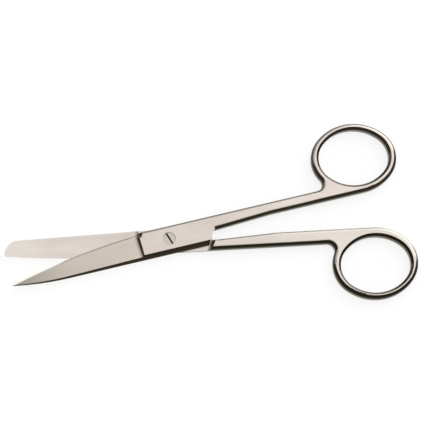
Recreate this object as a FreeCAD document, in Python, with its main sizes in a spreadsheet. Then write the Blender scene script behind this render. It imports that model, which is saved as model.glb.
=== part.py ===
"""Nurses scissors, sharp and blunt: two half-lapped halves on a slotted pivot screw.

Each half is drawn in its own frame: the pivot at the origin, the finger ring
towards +X and +Y, the blade towards -X, and the outer face up. The lap keeps
the upper half of the stock, so the riding face is at half thickness.
Lengths are in millimetres and angles in degrees.
"""
import FreeCAD, Part
import math
import os
import Sketcher
from FreeCAD import Placement, Rotation, Vector

doc = FreeCAD.newDocument("NursesScissors")


# Driving sizes

sheet = doc.addObject("Spreadsheet::Sheet", "Sizes")
SIZES = [
    # The bar that both halves are forged from
    ("stock_thickness", 3.6),
    ("outer_side", 4.45),
    ("edge_round", 1.25),
    # Shank, from the lap to the ring
    ("shank_parallel_from", 36),
    ("neck_round", 2.4),
    # Finger ring
    ("ring_along", 68.7),
    ("ring_across", 12.55),
    ("ring_length", 29),
    ("ring_width", 24),
    ("ring_tilt", 6),
    ("ring_wire_end", 2.55),
    ("ring_wire_inner", 2.6),
    ("ring_wire_outer", 2.15),
    ("oval_fullness", 1.03),
    ("hole_break", 0.85),
    # Half lap and its shoulder
    ("lap_clearance", 0.04),
    ("shoulder_along", 16.3),
    ("shoulder_slant", 28),
    ("shoulder_cove", 1.55),
    ("notch_along", 15.45),
    ("notch_stock", 0.4),
    ("notch_heel", 13.9),
    ("notch_heel_drop", 2.9),
    ("notch_slant", 30),
    ("relief_radius", 12.85),
    ("relief_depth", 0.75),
    ("relief_from", 30),
    # Blade, outside the lap
    ("blade_length", 55.6),
    ("blank_bend", 103),
    ("step_along", 9.9),
    ("step_slant", 9),
    ("step_cove", 1.1),
    ("step_depth", 0.6),
    ("face_lean", 3.5),
    ("tip_thickness", 0.8),
    ("hollow_depth", 0.15),
    ("hollow_land", 0.7),
    ("edge_flat", 0.1),
    ("bevel_angle", 42),
    ("back_flat", 0.35),
    ("back_angle", 45),
    # Sharp half: its shank root reaches past the middle, and its spine is deep
    ("sharp_root", -0.45),
    ("sharp_spine", 5),
    ("sharp_tip_flat", 0.12),
    ("sharp_heel", 3.95),
    ("sharp_edge_radius", 240),
    ("sharp_bend_run", 19.6),
    # Blunt half: its shank root stays clear of the sharp half's when closed
    ("blunt_root", 1),
    ("blunt_inner_extra", 0.85),
    ("blunt_wire_extra", 0.55),
    ("blunt_short", 0.2),
    ("blunt_heel", 4.4),
    ("blunt_edge_end", 2.7),
    ("blunt_edge_radius", 260),
    ("blunt_end_run", 7.6),
    ("blunt_end_radius", 6),
    ("blunt_spine_root", 4.25),
    ("blunt_spine_end", 2.7),
    ("blunt_corner", 1.1),
    # Slotted pivot screw
    ("screw_head", 4.2),
    ("screw_head_rim", 0.35),
    ("screw_shank", 2.6),
    ("screw_thread", 2.2),
    ("screw_peen", 0.3),
    ("screw_running_fit", 0.04),
    ("slot_width", 0.6),
    ("slot_depth", 0.6),
    ("slot_turn", 22),
    # How the halves stand
    ("rest_half_angle", 5.1),
]
for row, (name, value) in enumerate(SIZES, start=1):
    sheet.set("A%d" % row, name)
    sheet.set("B%d" % row, str(value))
    sheet.setAlias("B%d" % row, name)
doc.recompute()

THICK = "Sizes.stock_thickness"
RIDE = "(Sizes.stock_thickness + Sizes.lap_clearance) / 2"
BEYOND = "(Sizes.stock_thickness + 1)"
HEAD_BASE = ("(Sizes.stock_thickness - Sizes.screw_head_rim"
             " - (Sizes.screw_head - Sizes.screw_shank) / 2)")
BLANK = "(Sizes.blade_length + 4)"
FAR = "(Sizes.blade_length + 10)"
BELOW = "(Sizes.sharp_spine + 2)"
SHARP_TURN = "(Sizes.blade_length - Sizes.sharp_bend_run)"
SHARP_DROP = ("(Sizes.sharp_spine - Sizes.blank_bend - Sizes.sharp_tip_flat"
              " + sqrt(Sizes.blank_bend ^ 2 - Sizes.sharp_bend_run ^ 2))")
BLUNT_LENGTH = "(Sizes.blade_length - Sizes.blunt_short)"
BLUNT_TURN = "(Sizes.blade_length - Sizes.blunt_short - Sizes.blunt_end_run)"


# An oval is two end arcs and two side arcs, each tangent to the next

def end_radius(length, width):
    """The radius of an oval's two ends."""
    return "(Sizes.oval_fullness * %s ^ 2 / %s / 2)" % (width, length)


def side_radius(length, width):
    """The radius of an oval's two sides, so that they meet its ends in line."""
    end = end_radius(length, width)
    return "(((%s ^ 2 + %s ^ 2) / 4 - %s * %s) / (%s - 2 * %s))" % (
        length, width, length, end, width, end)


HOLE_LENGTH = "(Sizes.ring_length - 2 * Sizes.ring_wire_end)"


# Helpers

def number(owner, text):
    """The plain value of an expression over the sheet."""
    value = owner.evalExpression(text)
    return float(getattr(value, "Value", value))


def plane(body, role):
    """The body's own origin plane of that role."""
    return next(item for item in body.Origin.OriginFeatures if item.Role == role)


def sketch_on(body, name, role, height="0", turn="0"):
    """A sketch on an origin plane, lifted along its normal and turned about Z."""
    sketch = body.newObject("Sketcher::SketchObject", name)
    sketch.AttachmentSupport = (plane(body, role), "")
    sketch.MapMode = "FlatFace"
    sketch.setExpression(".AttachmentOffset.Base.z", height)
    if turn != "0":
        sketch.AttachmentOffset = Placement(Vector(), Rotation(Vector(0, 1, 0), 1))
        sketch.setExpression(".AttachmentOffset.Rotation.Angle", turn)
    return sketch


def bind(sketch, *constraint, value):
    """A dimension whose value is an expression over the sheet."""
    amount = number(sketch, value)
    index = sketch.addConstraint(Sketcher.Constraint(*constraint, amount))
    sketch.setExpression("Constraints[%d]" % index, value)


def pin(sketch, geometry, end, x, y):
    """Hold one end of a curve at a place measured from the sketch's origin."""
    if x is not None:
        bind(sketch, "DistanceX", -1, 1, geometry, end, value=x)
    if y is not None:
        bind(sketch, "DistanceY", -1, 1, geometry, end, value=y)


def arc_between(start, end, radius):
    """An arc from start to end; a negative radius curves the other way."""
    chord = end - start
    half = chord.Length / 2
    side = Vector(-chord.y, chord.x, 0).normalize()
    rise = math.sqrt(radius * radius - half * half)
    centre = (start + end) / 2 + side * math.copysign(rise, radius)
    angles = [math.atan2(point.y - centre.y, point.x - centre.x) for point in (start, end)]
    if radius < 0:
        angles.reverse()
    circle = Part.Circle(centre, Vector(0, 0, 1), abs(radius))
    return Part.ArcOfCircle(circle, angles[0], angles[1])


def outline(sketch, corners):
    """Draw a closed outline. A corner is x, y and, before an arc, its radius."""
    spots = []
    for corner in corners:
        spots.append(Vector(number(sketch, corner[0]), number(sketch, corner[1]), 0))
    ends = []
    for index, corner in enumerate(corners):
        start = spots[index]
        finish = spots[(index + 1) % len(spots)]
        if len(corner) == 2:
            piece = sketch.addGeometry(Part.LineSegment(start, finish))
            ends.append((piece, 1, 2))
            continue
        radius = number(sketch, corner[2])
        piece = sketch.addGeometry(arc_between(start, finish, radius))
        ends.append((piece, 1, 2) if radius > 0 else (piece, 2, 1))
        bind(sketch, "Radius", piece, value="abs(%s)" % corner[2])
    for index, (piece, first, last) in enumerate(ends):
        following, next_first, next_last = ends[(index + 1) % len(ends)]
        sketch.addConstraint(Sketcher.Constraint("Coincident", piece, last, following, next_first))
        pin(sketch, piece, first, corners[index][0], corners[index][1])
    return [piece for piece, first, last in ends]


def oval(sketch, length, width, centre, shift="0"):
    """An oval of four arcs about the ring's centre, or shifted from it, at the ring's tilt."""
    end = end_radius(length, width)
    side = side_radius(length, width)
    along = "((%s / 2 - %s) * %s / (%s - %s))" % (length, end, side, side, end)
    across = "(%s * (%s - %s / 2) / (%s - %s))" % (end, side, width, side, end)
    corners = []
    for right, up, radius in ((1, -1, end), (1, 1, side), (-1, 1, end), (-1, -1, side)):
        a = "(%d * %s)" % (right, along)
        b = "(%d * %s + %s)" % (up, across, shift)
        x = "Sizes.ring_along + %s * cos(Sizes.ring_tilt) + %s * sin(Sizes.ring_tilt)" % (a, b)
        y = "%s - %s * sin(Sizes.ring_tilt) + %s * cos(Sizes.ring_tilt)" % (centre, a, b)
        corners.append((x, y, radius))
    outline(sketch, corners)


def extrude(body, kind, name, sketch, length, both=False, reverse=False):
    """Pad or pocket a sketch over a length."""
    before = None if body.Tip is None else body.Tip.Shape.Volume
    feature = body.newObject("PartDesign::" + kind, name)
    feature.Profile = sketch
    feature.Midplane = both
    feature.Reversed = reverse
    feature.setExpression("Length", length)
    doc.recompute()
    if kind == "Pocket" and not feature.Shape.Volume < before - 1e-3:
        raise ValueError("%s cuts nothing" % feature.Label)
    return feature


def tapered(body, name, sketch, angle):
    """Pocket a sketch upwards with walls that lean outwards from it."""
    before = body.Tip.Shape.Volume
    feature = body.newObject("PartDesign::Pocket", name)
    feature.Profile = sketch
    feature.Reversed = True
    feature.setExpression("Length", THICK)
    feature.setExpression("TaperAngle", angle)
    doc.recompute()
    if not feature.Shape.Volume < before - 1e-3:
        raise ValueError("%s cuts nothing" % feature.Label)
    return feature


def lean_across(feature):
    """Cut along a line that drops towards the cutting edge."""
    feature.UseCustomVector = True
    feature.Direction = Vector(0, 1, 0)
    feature.setExpression("Direction.y", "cos(Sizes.face_lean)")
    feature.setExpression("Direction.z", "-sin(Sizes.face_lean)")
    doc.recompute()


def turn_about_pivot(body, kind, name, sketch, angle):
    """Revolve or groove a sketch about Z."""
    before = None if body.Tip is None else body.Tip.Shape.Volume
    feature = body.newObject("PartDesign::" + kind, name)
    feature.Profile = sketch
    feature.ReferenceAxis = (sketch, ["V_Axis"])
    feature.Midplane = True
    feature.setExpression("Angle", angle)
    doc.recompute()
    if kind == "Groove" and not feature.Shape.Volume < before - 1e-3:
        raise ValueError("%s cuts nothing" % feature.Label)
    return feature


def dress(body, kind, name, size, chosen):
    """Fillet or chamfer the edges of the tip for which chosen is true."""
    base = body.Tip
    names = []
    for index, edge in enumerate(base.Shape.Edges, start=1):
        if chosen(edge):
            names.append("Edge%d" % index)
    if not names:
        raise ValueError("%s finds no edge" % name)
    feature = body.newObject("PartDesign::" + kind, name)
    feature.Base = (base, names)
    feature.setExpression("Radius" if kind == "Fillet" else "Size", size)
    doc.recompute()
    return feature


def middle(edge):
    """A point half way along an edge."""
    return edge.valueAt((edge.FirstParameter + edge.LastParameter) / 2)


def upright(edge):
    """True for an edge that stands along Z."""
    low, high = [vertex.Point for vertex in (edge.Vertexes[0], edge.Vertexes[-1])]
    return math.hypot(high.x - low.x, high.y - low.y) < 1e-4 < abs(high.z - low.z)


# One half of the scissors

def make_half(name, root, extra, wire, spine_root, spine_end, bend_along, blade, bore):
    """Forge a bar with a ring, then grind its lap, shoulder, notch and blade."""
    ring_across = "(Sizes.ring_across - %s / 2)" % extra
    ring_width = "(Sizes.ring_width + %s)" % extra
    ring_side = side_radius("Sizes.ring_length", ring_width)
    side_centre = "(%s - %s / 2)" % (ring_side, ring_width)
    ring_low = "(%s + %s * cos(Sizes.ring_tilt) - %s)" % (ring_across, side_centre, ring_side)
    ring_low_along = "(Sizes.ring_along + %s * sin(Sizes.ring_tilt))" % side_centre
    hole_width = "(%s - %s - Sizes.ring_wire_outer)" % (ring_width, wire)
    hole_shift = "((%s - Sizes.ring_wire_outer) / 2)" % wire
    body = doc.addObject("PartDesign::Body", name)
    body.Label = name
    thick = number(sheet, "stock_thickness")
    outer = number(sheet, "outer_side")
    raw_end = "(Sizes.notch_along + Sizes.notch_stock)"

    # Bar: blade blank, lap and shank in one outline that runs into the ring
    bar = sketch_on(body, name + "_bar_outline", "XY_Plane")
    slope = "atan((%s - %s) / (%s + %s))" % (spine_root, spine_end, raw_end, bend_along)
    centre_x = "(Sizes.blank_bend * sin(%s) - %s)" % (slope, bend_along)
    centre_y = "(Sizes.blank_bend * cos(%s) - %s)" % (slope, spine_end)
    back_start = "(-%s - (Sizes.shoulder_along - %s) * tan(%s))" % (spine_root, raw_end, slope)
    blank_end_y = "%s - sqrt(Sizes.blank_bend ^ 2 - (%s + %s) ^ 2)" % (centre_y, BLANK, centre_x)
    outline(bar, [
        ("-" + bend_along, "-" + spine_end, "-Sizes.blank_bend"),
        ("-" + BLANK, blank_end_y),
        ("-" + BLANK, "Sizes.outer_side"),
        ("Sizes.ring_along - Sizes.ring_length / 4", "Sizes.outer_side"),
        (ring_low_along, ring_low),
        ("Sizes.shank_parallel_from", ring_low),
        (raw_end, root),
        (raw_end, "-" + spine_root),
    ])
    extrude(body, "Pad", name + "_bar", bar, THICK)

    # Ring: an oval disc fused to the bar, blended at the neck, then pierced
    disc = sketch_on(body, name + "_ring_outline", "XY_Plane")
    oval(disc, "Sizes.ring_length", ring_width, ring_across)
    extrude(body, "Pad", name + "_ring", disc, THICK)

    def at_neck(edge):
        place = middle(edge)
        return upright(edge) and place.x > 0 and abs(place.y - outer) < 1e-3

    dress(body, "Fillet", name + "_neck", "Sizes.neck_round", at_neck)

    # Every long edge is rounded, but not the raw ends of the blank
    box = body.Tip.Shape.BoundBox
    raw_end_at = number(bar, raw_end)
    raw_end_top = number(bar, root)

    def long_edge(edge):
        place = middle(edge)
        level = abs(place.z) < 1e-3 or abs(place.z - thick) < 1e-3
        at_end = place.x < box.XMin + 1e-2
        at_raw_end = abs(place.x - raw_end_at) < 1e-2 and place.y < raw_end_top - 1e-2
        return level and not upright(edge) and not at_end and not at_raw_end

    dress(body, "Fillet", name + "_rounded_edges", "Sizes.edge_round", long_edge)

    # Finger hole, its two rims bevelled, with the thinner wire on the ring's outer side
    hole = sketch_on(body, name + "_finger_hole", "XY_Plane")
    oval(hole, HOLE_LENGTH, hole_width, ring_across, hole_shift)
    extrude(body, "Pocket", name + "_finger_ring", hole, THICK, reverse=True)
    tilt = math.radians(number(hole, "Sizes.ring_tilt"))
    centre = Vector(number(hole, "Sizes.ring_along"), number(hole, ring_across), 0)
    reach = number(hole, HOLE_LENGTH) / 2
    across = number(hole, hole_width) / 2
    shift = number(hole, hole_shift)

    def at_rim(edge):
        place = middle(edge) - centre
        along = place.x * math.cos(tilt) - place.y * math.sin(tilt)
        up = place.x * math.sin(tilt) + place.y * math.cos(tilt) - shift
        return not upright(edge) and math.hypot(along / reach, up / across) < 1.04

    dress(body, "Chamfer", name + "_hole_rims", "Sizes.hole_break", at_rim)

    # Half lap: the lower half goes, up to a coved shoulder across the shank
    lap = sketch_on(body, name + "_lap_side", "XZ_Plane", turn="Sizes.shoulder_slant")
    wall = "Sizes.shoulder_along * cos(Sizes.shoulder_slant)"
    outline(lap, [
        ("-" + FAR, "-1"),
        ("-" + FAR, RIDE),
        (wall + " - Sizes.shoulder_cove", RIDE, "-Sizes.shoulder_cove"),
        (wall, RIDE + " - Sizes.shoulder_cove"),
        (wall, "-1"),
    ])
    extrude(body, "Pocket", name + "_half_lap", lap, FAR, both=True)

    # Notch: the lap ends on a slanted face just short of the other shoulder
    notch = sketch_on(body, name + "_notch_outline", "XY_Plane")
    outline(notch, [
        ("Sizes.notch_along", root),
        ("Sizes.notch_heel", "-Sizes.notch_heel_drop"),
        ("Sizes.notch_heel - 4 * tan(Sizes.notch_slant)", "-Sizes.notch_heel_drop - 4"),
        ("Sizes.notch_along + 2", "-Sizes.notch_heel_drop - 4"),
        ("Sizes.notch_along + 2", root),
    ])
    extrude(body, "Pocket", name + "_notch", notch, THICK, reverse=True)

    # Relief: the lap's end is thinned about the pivot, to pass over the other cove
    cove_foot = "(Sizes.shoulder_along - Sizes.shoulder_cove / cos(Sizes.shoulder_slant))"
    relief_to = "atan((%s - 0.1) / %s)" % (root, cove_foot)
    relief = sketch_on(body, name + "_relief_side", "XZ_Plane",
                       turn="(%s - Sizes.relief_from * 1 deg) / 2" % relief_to)
    top = RIDE + " + Sizes.relief_depth"
    outline(relief, [
        ("Sizes.relief_radius", RIDE + " - 0.5"),
        ("Sizes.relief_radius", RIDE),
        ("Sizes.relief_radius + 2 * Sizes.relief_depth", top),
        ("Sizes.notch_along + 1", top),
        ("Sizes.notch_along + 1", RIDE + " - 0.5"),
    ])
    turn_about_pivot(body, "Groove", name + "_lap_relief", relief,
                     "%s + Sizes.relief_from * 1 deg" % relief_to)

    # Blade: a coved step drops to a face that thins towards the tip
    step = sketch_on(body, name + "_step_side", "XZ_Plane", turn="Sizes.step_slant")
    edge_at = "(-Sizes.step_along * cos(Sizes.step_slant))"
    reach = "sqrt(Sizes.step_cove ^ 2 - (Sizes.step_cove - Sizes.step_depth) ^ 2)"
    outline(step, [
        (edge_at, BEYOND),
        (edge_at, THICK, "-Sizes.step_cove"),
        (edge_at + " - " + reach, THICK + " - Sizes.step_depth"),
        ("-" + FAR, RIDE + " + Sizes.tip_thickness"),
        ("-" + FAR, BEYOND),
    ])
    lean_across(extrude(body, "Pocket", name + "_blade_face", step, FAR, both=True))

    # Back: the spine is bevelled from the notch to the point
    back = sketch_on(body, name + "_back_outline", "XY_Plane", height=RIDE + " + Sizes.back_flat")
    outline(back, [
        ("-" + bend_along, "-" + spine_end, "-Sizes.blank_bend"),
        ("-" + BLANK, blank_end_y),
        ("-" + BLANK, "-" + BELOW + " - 2"),
        ("Sizes.shoulder_along", "-" + BELOW + " - 2"),
        ("Sizes.shoulder_along", back_start),
    ])
    tapered(body, name + "_back_bevel", back, "Sizes.back_angle")
    blade(body, name)
    bore(body, name)
    return body


def cut_blade(body, name, corners, edge_corners):
    """Trim the blade to its outline, then bevel it down to the cutting edge."""
    trim = sketch_on(body, name + "_blade_outline", "XY_Plane")
    outline(trim, corners)
    extrude(body, "Pocket", name + "_blade_trim", trim, BEYOND, reverse=True)
    bevel = sketch_on(body, name + "_edge_outline", "XY_Plane", height=RIDE + " + Sizes.edge_flat")
    outline(bevel, edge_corners)
    tapered(body, name + "_cutting_bevel", bevel, "Sizes.bevel_angle")


def hollow(body, name, heel, far_along, far):
    """Hollow-grind the riding face between two lands, shallower towards the tip."""
    sections = []
    for place, along, depth, (low, high) in (
            ("near", "-Sizes.step_along - 2", "Sizes.hollow_depth", heel),
            ("far", far_along, "Sizes.hollow_depth / 3", far)):
        section = sketch_on(body, "%s_hollow_%s" % (name, place), "YZ_Plane", height=along)
        radius = "(((%s) - (%s)) ^ 2 / 8 / (%s) + (%s) / 2)" % (high, low, depth, depth)
        outline(section, [
            (low, RIDE + " - 0.5"),
            (high, RIDE + " - 0.5"),
            (high, RIDE, radius),
            (low, RIDE),
        ])
        sections.append(section)
    before = body.Tip.Shape.Volume
    loft = body.newObject("PartDesign::SubtractiveLoft", name + "_hollow_grind")
    loft.Profile = sections[0]
    loft.Sections = sections[1:]
    doc.recompute()
    if not loft.Shape.Volume < before - 1e-3:
        raise ValueError("%s cuts nothing" % loft.Label)


def sharp_blade(body, name):
    """A pointed blade whose edge bows out a little."""
    edge = [
        ("-Sizes.step_along + 1", "Sizes.outer_side + 1"),
        ("-Sizes.step_along", "Sizes.sharp_heel", "Sizes.sharp_edge_radius"),
        ("-Sizes.blade_length", "-" + SHARP_DROP),
        ("-Sizes.blade_length", "-" + BELOW),
        ("-" + FAR, "-" + BELOW),
        ("-" + FAR, "Sizes.outer_side + 1"),
    ]
    cut_blade(body, name, edge, edge)
    hollow(body, name,
           ("-Sizes.sharp_spine + 2 * Sizes.hollow_land", "Sizes.sharp_heel - Sizes.hollow_land"),
           "-Sizes.blade_length + 8",
           ("-%s - 0.4" % SHARP_DROP, "-%s + 1.2" % SHARP_DROP))


def blunt_blade(body, name):
    """A wide blade with a rounded end."""
    corner_at = "-%s + Sizes.blunt_corner" % BLUNT_LENGTH
    heel = [
        ("-Sizes.step_along + 1", "Sizes.outer_side + 1"),
        ("-Sizes.step_along", "Sizes.blunt_heel", "Sizes.blunt_edge_radius"),
    ]
    round_end = [
        (corner_at, "Sizes.blunt_edge_end", "Sizes.blunt_corner"),
        ("-" + BLUNT_LENGTH, "Sizes.blunt_edge_end - Sizes.blunt_corner", "Sizes.blunt_end_radius"),
        ("-" + BLUNT_TURN, "-Sizes.blunt_spine_end"),
        ("-" + BLUNT_TURN, "-" + BELOW),
        ("-" + FAR, "-" + BELOW),
        ("-" + FAR, "Sizes.outer_side + 1"),
    ]
    straight_end = [
        (corner_at, "Sizes.blunt_edge_end"),
        ("-" + FAR, "Sizes.blunt_edge_end - 1"),
        ("-" + FAR, "Sizes.outer_side + 1"),
    ]
    cut_blade(body, name, heel + round_end, heel + straight_end)
    hollow(body, name,
           ("-Sizes.blunt_spine_root + 2 * Sizes.hollow_land", "Sizes.blunt_heel - Sizes.hollow_land"),
           "-%s + 8" % BLUNT_LENGTH,
           ("-Sizes.blunt_spine_end + Sizes.hollow_land",
            "Sizes.blunt_edge_end - Sizes.hollow_land"))


def head_bore(body, name):
    """The screw's seat: a shank bore that opens into a cone and a short rim."""
    seat = sketch_on(body, name + "_screw_seat_side", "XZ_Plane")
    fit = " + Sizes.screw_running_fit"
    outline(seat, [
        ("0", "0"),
        ("Sizes.screw_shank / 2" + fit, "0"),
        ("Sizes.screw_shank / 2" + fit, HEAD_BASE),
        ("Sizes.screw_head / 2" + fit, THICK + " - Sizes.screw_head_rim"),
        ("Sizes.screw_head / 2" + fit, BEYOND),
        ("0", BEYOND),
    ])
    turn_about_pivot(body, "Groove", name + "_screw_seat", seat, "360")


def thread_bore(body, name):
    """The screw's thread bore, opened at its far end for the riveted tip."""
    bore = sketch_on(body, name + "_thread_side", "XZ_Plane")
    outline(bore, [
        ("0", "0"),
        ("Sizes.screw_thread / 2", "0"),
        ("Sizes.screw_thread / 2", THICK + " - Sizes.screw_peen"),
        ("Sizes.screw_thread / 2 + Sizes.screw_peen", THICK),
        ("0", THICK),
    ])
    turn_about_pivot(body, "Groove", name + "_thread_bore", bore, "360")


sharp = make_half("sharp_half", "Sizes.sharp_root", "0", "Sizes.ring_wire_inner",
                  "Sizes.sharp_spine", "Sizes.sharp_spine", SHARP_TURN, sharp_blade, head_bore)
blunt = make_half("blunt_half", "Sizes.blunt_root", "Sizes.blunt_inner_extra",
                  "(Sizes.ring_wire_inner + Sizes.blunt_wire_extra)", "Sizes.blunt_spine_root",
                  "Sizes.blunt_spine_end", BLUNT_TURN, blunt_blade, thread_bore)


# Pivot screw: slotted head flush with the top, tip riveted flush underneath

screw = doc.addObject("PartDesign::Body", "pivot_screw")
screw.Label = "pivot_screw"
side = sketch_on(screw, "screw_side", "XZ_Plane")
outline(side, [
    ("0", "0"),
    ("Sizes.screw_thread / 2 + Sizes.screw_peen", "0"),
    ("Sizes.screw_thread / 2", "Sizes.screw_peen"),
    ("Sizes.screw_thread / 2", "(Sizes.stock_thickness - Sizes.lap_clearance) / 2"),
    ("Sizes.screw_shank / 2", "(Sizes.stock_thickness - Sizes.lap_clearance) / 2"),
    ("Sizes.screw_shank / 2", HEAD_BASE),
    ("Sizes.screw_head / 2", THICK + " - Sizes.screw_head_rim"),
    ("Sizes.screw_head / 2", THICK),
    ("0", THICK),
])
turn_about_pivot(screw, "Revolution", "screw_blank", side, "360")
slot = sketch_on(screw, "slot_outline", "XY_Plane", height=THICK)
slot.setExpression(".AttachmentOffset.Rotation.Angle", "Sizes.slot_turn")
outline(slot, [
    ("-Sizes.slot_width / 2", "-Sizes.screw_head"),
    ("Sizes.slot_width / 2", "-Sizes.screw_head"),
    ("Sizes.slot_width / 2", "Sizes.screw_head"),
    ("-Sizes.slot_width / 2", "Sizes.screw_head"),
])
extrude(screw, "Pocket", "screw_slot", slot, "Sizes.slot_depth")


# Places: the sharp half lies on the blunt one, which is turned on its back

rest = number(sheet, "rest_half_angle")
thick = number(sheet, "stock_thickness")
turned = Rotation(Vector(0, 0, 1), -rest).multiply(Rotation(Vector(1, 0, 0), 180))
sharp.Placement = Placement(Vector(), Rotation(Vector(0, 0, 1), rest))
blunt.Placement = Placement(Vector(0, 0, thick), turned)
screw.Placement = Placement(Vector(), Rotation())
doc.recompute()


# Check every object, then write one file for each piece

for item in doc.Objects:
    if "Invalid" in item.State or "Error" in item.State:
        raise ValueError("%s is not built" % item.Label)
os.makedirs("parts", exist_ok=True)
for body in (sharp, blunt, screw):
    if body.Shape.isNull() or not body.Shape.isValid() or len(body.Shape.Solids) != 1:
        raise ValueError("%s is not one sound solid" % body.Label)
    body.Shape.exportStep("parts/%s.step" % body.Label)
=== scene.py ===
import bmesh
import bpy
import math
from mathutils import Matrix, Vector

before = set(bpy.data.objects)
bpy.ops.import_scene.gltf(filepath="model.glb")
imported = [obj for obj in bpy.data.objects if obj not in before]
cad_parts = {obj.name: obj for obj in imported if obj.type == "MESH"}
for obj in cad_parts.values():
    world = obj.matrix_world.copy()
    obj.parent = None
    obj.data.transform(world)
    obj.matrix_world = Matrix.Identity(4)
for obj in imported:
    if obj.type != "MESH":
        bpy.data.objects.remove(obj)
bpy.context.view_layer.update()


# Blunt half: the lower of the two, forged from one bar of stainless steel.
# Its lap is milled to half thickness, its blade is hollow-ground from below,
# and its flats are brushed satin, while its rounded sides are painted dark as a painted reflection.

def new_group(name, outputs, **inputs):
    """An empty shader node group with named number inputs and named outputs."""
    group = bpy.data.node_groups.new(name, "ShaderNodeTree")
    for label, value in inputs.items():
        socket = group.interface.new_socket(label, in_out="INPUT", socket_type="NodeSocketFloat")
        socket.default_value = value
    for label, kind in outputs.items():
        group.interface.new_socket(label, in_out="OUTPUT", socket_type=kind)
    return group, group.nodes.new("NodeGroupInput"), group.nodes.new("NodeGroupOutput")


def join(tree, source, target):
    """Link one socket to another, or give a socket a plain number."""
    if isinstance(source, (int, float)):
        target.default_value = source
    else:
        tree.links.new(source, target)


def reckon(tree, kind, first, second=0.0):
    """A math node of that kind; either side is a socket or a plain number."""
    node = tree.nodes.new("ShaderNodeMath")
    node.operation = kind
    join(tree, first, node.inputs[0])
    join(tree, second, node.inputs[1])
    return node.outputs[0]


def product(tree, first, *others):
    """The product of two or more sockets or plain numbers."""
    for other in others:
        first = reckon(tree, "MULTIPLY", first, other)
    return first


def scaled_sum(tree, value, factor, added):
    """A value times a plain factor plus a plain number."""
    node = reckon(tree, "MULTIPLY_ADD", value, factor).node
    node.inputs[2].default_value = added
    return node.outputs[0]


def rise(tree, value, low, high, bottom=0.0, top=1.0):
    """A smooth rise from bottom to top while value goes from low to high."""
    node = tree.nodes.new("ShaderNodeMapRange")
    node.interpolation_type = "SMOOTHSTEP"
    for label, given in (("Value", value), ("From Min", low), ("From Max", high),
                         ("To Min", bottom), ("To Max", top)):
        join(tree, given, node.inputs[label])
    return node.outputs[0]


def fall(tree, value, low, high):
    """A smooth fall from 1 to 0 while value goes from low to high."""
    return rise(tree, value, low, high, 1.0, 0.0)


def mixed(tree, factor, first, second):
    """A colour between two: each is a plain colour or a socket."""
    node = tree.nodes.new("ShaderNodeMix")
    node.data_type = "RGBA"
    join(tree, factor, node.inputs["Factor"])
    for label, colour in (("A", first), ("B", second)):
        if isinstance(colour, tuple):
            node.inputs[label].default_value = (*colour, 1)
        else:
            tree.links.new(colour, node.inputs[label])
    return node.outputs["Result"]


def noise_of(group, vector, stretch, detail):
    """Noise about zero, stretched along the three axes."""
    scaled = group.nodes.new("ShaderNodeMapping")
    scaled.inputs["Scale"].default_value = stretch
    noise = group.nodes.new("ShaderNodeTexNoise")
    noise.inputs["Scale"].default_value = 1.0
    noise.inputs["Detail"].default_value = detail
    join(group, vector, scaled.inputs["Vector"])
    join(group, scaled.outputs[0], noise.inputs["Vector"])
    return reckon(group, "SUBTRACT", noise.outputs["Fac"], 0.5)


def turned_place(group, turn, source="Object"):
    """Object coordinates, or the normal, turned so that X runs along the bar."""
    place = group.nodes.new("ShaderNodeTexCoord")
    turned = group.nodes.new("ShaderNodeVectorRotate")
    turned.rotation_type = "Z_AXIS"
    join(group, place.outputs[source], turned.inputs["Vector"])
    join(group, turn, turned.inputs["Angle"])
    return turned.outputs[0]


def split(group, vector):
    """The three numbers of a vector."""
    apart = group.nodes.new("ShaderNodeSeparateXYZ")
    join(group, vector, apart.inputs[0])
    return apart.outputs


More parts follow.
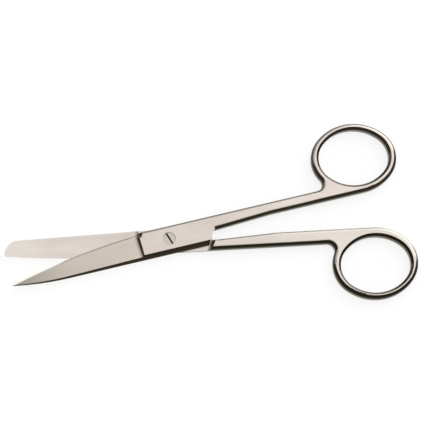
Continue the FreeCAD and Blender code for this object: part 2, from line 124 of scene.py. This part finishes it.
def faces_group():
    """Masks from how the surface lies: the ground flats, and the cutting bevel.

    Level is the upright part of the normal: 1 on a flat and 0 on a wall. The flats' finish
    and light colour fade out down a round into painted shade, between two levels, which depend on where
    the round is and faces.
    Places along the bar are in metres from the pivot, with the blade on the minus side.
    """
    outputs = {"Flat": "NodeSocketFloat", "Bevel": "NodeSocketFloat"}
    group, given, out = new_group("ground_faces", outputs, Turn=0.0, Inner=0.0)
    facing = split(group, turned_place(group, given.outputs["Turn"], "Normal"))
    along, across, _ = split(group, turned_place(group, given.outputs["Turn"]))
    level = reckon(group, "ABSOLUTE", facing[2])
    # Painted shade: rounds that face +Y fade slowly to the dark side colour, and those that face -Y
    # quickly, most of all on the ring
    lap_to_shank, shank_to_ring = (0.010, 0.016), (0.047, 0.055)
    far_side = rise(group, facing[1], -0.10, 0.15)
    near_dark = reckon(group, "ADD", rise(group, along, *lap_to_shank, 0.80, 0.92),
                       rise(group, along, *shank_to_ring, 0.0, 0.04))
    near_light = rise(group, along, *shank_to_ring, 0.995, 0.9985)
    dark_level = rise(group, far_side, 0.0, 1.0, near_dark, 0.62)
    light_level = rise(group, far_side, 0.0, 1.0, near_light, 0.999)
    # Painted light: the blunt half's inner side is painted as light as its flats, down to the ring's
    # hole
    lit_inner = product(group, rise(group, facing[1], 0.15, 0.55), given.outputs["Inner"],
                    rise(group, across, -0.016, -0.010))
    dark_level = rise(group, lit_inner, 0.0, 1.0, dark_level, 0.10)
    light_level = rise(group, lit_inner, 0.0, 1.0, light_level, 0.50)
    # Painted shade: the coved step between blade and lap is dark where it faces the blade
    step_foot, step_end = (-0.0110, -0.0102), (-0.006, -0.004)
    riser = rise(group, product(group, facing[0], -1.0), 0.20, 0.45)
    at_step = product(group, rise(group, along, *step_foot), fall(group, along, *step_end))
    lit = reckon(group, "SUBTRACT", 1.0, product(group, riser, at_step))
    join(group, product(group, rise(group, level, dark_level, light_level), lit), out.inputs["Flat"])
    # The cutting bevel leans 42 degrees towards the blade's inner side
    blade_end = (-0.0112, -0.0096)
    on_blade = fall(group, along, *blade_end)
    leaning = product(group, rise(group, level, 0.60, 0.64), fall(group, level, 0.78, 0.84))
    cutting_side = rise(group, product(group, facing[1], facing[2]), 0.1, 0.3)
    join(group, product(group, leaning, on_blade, cutting_side), out.inputs["Bevel"])
    return group


def brushed_group():
    """Fine grain along the bar: streaks and a soft cloud, both about zero."""
    outputs = {"Streaks": "NodeSocketFloat", "Cloud": "NodeSocketFloat", "Place": "NodeSocketVector"}
    group, given, out = new_group("brushed_grain", outputs, Turn=0.0)
    place = turned_place(group, given.outputs["Turn"])
    streaks = noise_of(group, place, stretch=(60, 9000, 2500), detail=3.0)
    cloud = noise_of(group, place, stretch=(80, 240, 240), detail=4.0)
    join(group, streaks, out.inputs["Streaks"])
    join(group, cloud, out.inputs["Cloud"])
    join(group, place, out.inputs["Place"])
    return group


def marks_group():
    """Faint hairline scratches from use, at two slants across the grain: 0 to 1."""
    group, given, out = new_group("handling_marks", {"Marks": "NodeSocketFloat"}, Turn=0.0)
    total = 0.0
    for slant in (0.35, -0.9):
        place = turned_place(group, reckon(group, "ADD", given.outputs["Turn"], slant))
        fine = noise_of(group, place, stretch=(55, 5200, 900), detail=1.0)
        patch = noise_of(group, place, stretch=(210, 260, 260), detail=1.0)
        line = product(group, rise(group, fine, 0.19, 0.24), rise(group, patch, 0.02, 0.16))
        total = reckon(group, "MAXIMUM", line, total)
    join(group, total, out.inputs["Marks"])
    return group


ground_faces = faces_group()
brushed_grain = brushed_group()
handling_marks = marks_group()


def placed(tree, group, **inputs):
    """A group in a material, with its own values."""
    node = tree.nodes.new("ShaderNodeGroup")
    node.node_tree = group
    for label, value in inputs.items():
        node.inputs[label].default_value = value
    return node.outputs


# Colours that both halves share: the sides near the table, lighter as a painted reflection of the
# table, and the ground cutting edge, lighter as a painted highlight
low_side_reflection = (0.120, 0.099, 0.066)
edge_highlight = (0.90, 0.84, 0.78)


def forged_steel(name, turn, lit_inner, lap, near_flat, far_flat, side, arc_side_light):
    """Satin stainless steel: ground light flats, and sides painted dark as a painted reflection.

    The flats go from far_flat at the tip to near_flat, then lap beyond the step. The sides
    lighten towards the table, and towards the given arc colour inside the far arc of the ring, as
    painted reflection.
    """
    material = bpy.data.materials.new(name)
    material.use_nodes = True
    tree = material.node_tree
    shader = tree.nodes["Principled BSDF"]
    shader.inputs["Metallic"].default_value = 1.0
    faces = placed(tree, ground_faces, Turn=turn, Inner=lit_inner)
    grain = placed(tree, brushed_grain, Turn=turn)
    marks = placed(tree, handling_marks, Turn=turn)
    along, across, height = split(tree, grain["Place"])
    # Colour of the flats, with the brushing's soft cloud, scratches, and painted shade in the cove
    whole_blade, point, blade_to_lap = (-0.075, 0.009), (-0.055, -0.035), (-0.0106, -0.0100)
    cove, cove_top, shank_to_neck = (-0.0116, -0.0101), (-0.0100, -0.0096), (0.026, 0.052)
    clouding, scratching, cove_shade_depth, neck_light = 0.30, 0.10, 0.55, 0.11
    towards_tip = reckon(tree, "ADD", rise(tree, along, *whole_blade, 0.5, 0.0),
                         rise(tree, along, *point, 0.5, 0.0))
    blade = mixed(tree, towards_tip, near_flat, far_flat)
    flats = tree.nodes.new("ShaderNodeHueSaturation")
    join(tree, mixed(tree, rise(tree, along, *blade_to_lap), blade, lap), flats.inputs["Color"])
    shade = reckon(tree, "ADD", scaled_sum(tree, grain["Cloud"], clouding, 1.0),
                   rise(tree, along, *shank_to_neck, 0.0, neck_light))
    # Painted shade: the flats darken in the cove beside the step
    cove_shade = product(tree, rise(tree, along, *cove), rise(tree, along, *cove_top, cove_shade_depth, 0.0))
    wear_and_shade = reckon(tree, "ADD", product(tree, marks["Marks"], scratching), cove_shade)
    join(tree, reckon(tree, "SUBTRACT", shade, wear_and_shade), flats.inputs["Value"])
    # Colour of the sides: a dark painted reflection, lighter by height near the table and by place in
    # the ring
    low = fall(tree, height, 0.0019, 0.0029)
    arc_light = product(tree, rise(tree, across, 0.014, 0.019), fall(tree, along, 0.060, 0.070))
    sides = mixed(tree, low, side, mixed(tree, arc_light, low_side_reflection, arc_side_light))
    # Off the flats the colour is the painted side colour, and on the cutting bevel it is a painted
    # highlight
    steel = mixed(tree, faces["Flat"], sides, flats.outputs[0])
    join(tree, mixed(tree, faces["Bevel"], steel, edge_highlight), shader.inputs["Base Color"])
    # The brushing roughens, and a scratch shines
    polished_side, satin_flat = 0.20, 0.36
    satin = rise(tree, faces["Flat"], 0.0, 1.0, polished_side, satin_flat)
    uneven = reckon(tree, "ADD", satin, product(tree, grain["Cloud"], 0.12))
    scored = product(tree, marks["Marks"], 0.12)
    brushed = reckon(tree, "SUBTRACT", product(tree, grain["Streaks"], 0.10), scored)
    join(tree, reckon(tree, "ADD", uneven, brushed), shader.inputs["Roughness"])
    bump = tree.nodes.new("ShaderNodeBump")
    bump.inputs["Strength"].default_value = 0.25
    bump.inputs["Distance"].default_value = 0.00001
    join(tree, reckon(tree, "SUBTRACT", grain["Streaks"], marks["Marks"]), bump.inputs["Height"])
    join(tree, bump.outputs[0], shader.inputs["Normal"])
    return material


def dress(node, material):
    """Give a solid its finish."""
    node.data.materials.clear()
    node.data.materials.append(material)


# Each half lies this far off the middle line between the two
half_angle = math.radians(5.1)
blunt_steel = forged_steel("blunt_half_steel", half_angle, lit_inner=1.0, lap=(0.76, 0.70, 0.635),
                           near_flat=(0.74, 0.67, 0.615), far_flat=(0.84, 0.78, 0.73),
                           side=(0.034, 0.029, 0.018), arc_side_light=low_side_reflection)
dress(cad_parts["blunt_half"], blunt_steel)


# Sharp half: the upper one, from the same bar and ground the same way.
# Its lap shows its whole face round the screw, and stops in a coved step
# where the blade begins.

sharp_steel = forged_steel("sharp_half_steel", -half_angle, lit_inner=0.0, lap=(0.76, 0.685, 0.625),
                           near_flat=(0.71, 0.633, 0.561), far_flat=(0.365, 0.33, 0.28),
                           side=(0.058, 0.047, 0.031), arc_side_light=(0.50, 0.48, 0.45))
dress(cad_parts["sharp_half"], sharp_steel)


# Pivot screw: turned from steel rod, its slotted head sunk level with the lap.
# It is screwed into the blunt half and riveted over underneath.

def turned_steel(name, face, hollow_shade):
    """Lathe-turned steel: fine rings about the axis, and painted shade in the slot and round the rim.
    """
    material = bpy.data.materials.new(name)
    material.use_nodes = True
    tree = material.node_tree
    shader = tree.nodes["Principled BSDF"]
    shader.inputs["Metallic"].default_value = 1.0
    place = tree.nodes.new("ShaderNodeTexCoord").outputs["Object"]
    x, y, z = split(tree, place)
    from_axis = reckon(tree, "SQRT", reckon(tree, "ADD", product(tree, x, x), product(tree, y, y)))
    # Painted shade lies in the slot and along the rim towards +Y, on the head alone
    rim_band, rim_shade = (0.00185, 0.00204), 0.75
    slot_floor_to_face, head_foot = (0.00325, 0.00357), (0.0022, 0.0024)
    towards = reckon(tree, "DIVIDE", reckon(tree, "ADD", scaled_sum(tree, x, 0.5, 0.0), y), from_axis)
    rim = product(tree, rise(tree, from_axis, *rim_band), rise(tree, towards, -0.3, 0.9), rim_shade)
    slot = fall(tree, z, *slot_floor_to_face)
    head = rise(tree, z, *head_foot)
    shaded_hollows = product(tree, reckon(tree, "MAXIMUM", slot, rim), head)
    join(tree, mixed(tree, shaded_hollows, face, hollow_shade), shader.inputs["Base Color"])
    # A turning mark every 0.07 mm, over a soft unevenness
    radians_per_metre, plain_roughness = 90000.0, 0.34
    turned = reckon(tree, "SINE", product(tree, from_axis, radians_per_metre))
    uneven = noise_of(tree, place, stretch=(300, 300, 300), detail=2.0)
    rough = scaled_sum(tree, uneven, 0.1, plain_roughness)
    join(tree, reckon(tree, "ADD", rough, product(tree, turned, 0.03)), shader.inputs["Roughness"])
    bump = tree.nodes.new("ShaderNodeBump")
    bump.inputs["Strength"].default_value = 0.2
    bump.inputs["Distance"].default_value = 0.00001
    join(tree, turned, bump.inputs["Height"])
    join(tree, bump.outputs[0], shader.inputs["Normal"])
    return material


screw_steel = turned_steel("pivot_screw_steel", face=(0.635, 0.585, 0.525), hollow_shade=(0.04, 0.034, 0.026))
dress(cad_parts["pivot_screw"], screw_steel)


# Table: a pale matt sheet under the scissors, lit by a broad soft box overhead
# and by a longer one that stands lower, beyond the upper ring.

def make_table(reach):
    """A level square sheet at height 0, reaching that far from the pivot each way."""
    shape = bmesh.new()
    bmesh.ops.create_grid(shape, x_segments=1, y_segments=1, size=reach)
    floor = bpy.data.objects.new("floor", bpy.data.meshes.new("floor"))
    shape.to_mesh(floor.data)
    shape.free()
    bpy.context.scene.collection.objects.link(floor)
    return floor


def pale_sheet(name, colour, glow):
    """Matt white whose own glow shows to the camera, in gloss and through glass alone."""
    material = bpy.data.materials.new(name)
    material.use_nodes = True
    tree = material.node_tree
    shader = tree.nodes["Principled BSDF"]
    shader.inputs["Base Color"].default_value = (*colour, 1)
    shader.inputs["Roughness"].default_value = 0.9
    shader.inputs["Specular IOR Level"].default_value = 0.1
    shader.inputs["Emission Color"].default_value = (1, 1, 1, 1)
    ray = tree.nodes.new("ShaderNodeLightPath").outputs
    seen = reckon(tree, "MAXIMUM", ray["Is Camera Ray"], ray["Is Glossy Ray"])
    seen = reckon(tree, "MAXIMUM", seen, ray["Is Transmission Ray"])
    join(tree, product(tree, seen, glow), shader.inputs["Emission Strength"])
    return material


floor = make_table(reach=3.0)
dress(floor, pale_sheet("pale_table", colour=(0.30, 0.30, 0.30), glow=0.815))

# Directions are given on the table as the photograph sees it, so they turn with the picture
picture_turn = math.radians(9.85)


def on_table(right, away, up):
    """A direction by the picture's right and away, as the scene's own axes."""
    return Vector((right * math.cos(picture_turn) + away * math.sin(picture_turn),
                   -right * math.sin(picture_turn) + away * math.cos(picture_turn), up))


def soft_box(name, slant, bearing, distance, wide, high, power):
    """An area lamp at that slant from overhead, towards a bearing from the picture's right."""
    lamp = bpy.data.objects.new(name, bpy.data.lights.new(name, "AREA"))
    bpy.context.scene.collection.objects.link(lamp)
    lamp.data.shape = "RECTANGLE"
    lamp.data.size = wide
    lamp.data.size_y = high
    lamp.data.energy = power
    s, b = math.radians(slant), math.radians(bearing)
    towards = on_table(math.sin(s) * math.cos(b), math.sin(s) * math.sin(b), math.cos(s))
    lamp.location = towards * distance
    lamp.rotation_euler = towards.to_track_quat("Z", "Y").to_euler()
    return lamp


soft_box("overhead_box", slant=22, bearing=60, distance=2.0, wide=1.9, high=1.5, power=4.9)
soft_box("key_box", slant=58, bearing=50, distance=2.4, wide=2.2, high=1.2, power=14)
world = bpy.data.worlds.new("studio")
world.use_nodes = True
background = world.node_tree.nodes["Background"].inputs
background["Color"].default_value = (0.45, 0.45, 0.45, 1)
background["Strength"].default_value = 1.0
bpy.context.scene.world = world
bpy.context.scene.view_settings.view_transform = "Standard"

# Camera: 19.8 degrees from overhead, leaning to the picture's lower left, on a long lens
picture = 430                   # pixels each way
pixels_per_metre = 3020.0
lens, sensor = 1000.0, 36.0     # mm
head_height = 0.0036
lean, side = math.radians(19.8), math.radians(30)
back = Vector((-math.sin(side) * math.sin(lean), -math.cos(side) * math.sin(lean), math.cos(lean)))
tip = Vector((0, 0, 1)).rotation_difference(back)
right, up = tip @ Vector((1, 0, 0)), tip @ Vector((0, 1, 0))
right, up, back = [on_table(*axis) for axis in (right, up, back)]
pivot_column, pivot_row = 169.4, 238.4
pivot_right = (pivot_column - picture / 2) / pixels_per_metre
pivot_up = (picture / 2 - pivot_row) / pixels_per_metre
camera = bpy.data.objects.new("camera", bpy.data.cameras.new("camera"))
bpy.context.scene.collection.objects.link(camera)
camera.data.lens = lens
camera.data.sensor_width = sensor
distance = lens / sensor * picture / pixels_per_metre
aim = Vector((0, 0, head_height)) - right * pivot_right - up * pivot_up
turned_to = Matrix((right, up, back)).transposed().to_4x4()
camera.matrix_world = Matrix.Translation(aim + back * distance) @ turned_to
camera.data.clip_start = distance / 20
camera.data.clip_end = distance * 4
bpy.context.scene.camera = camera
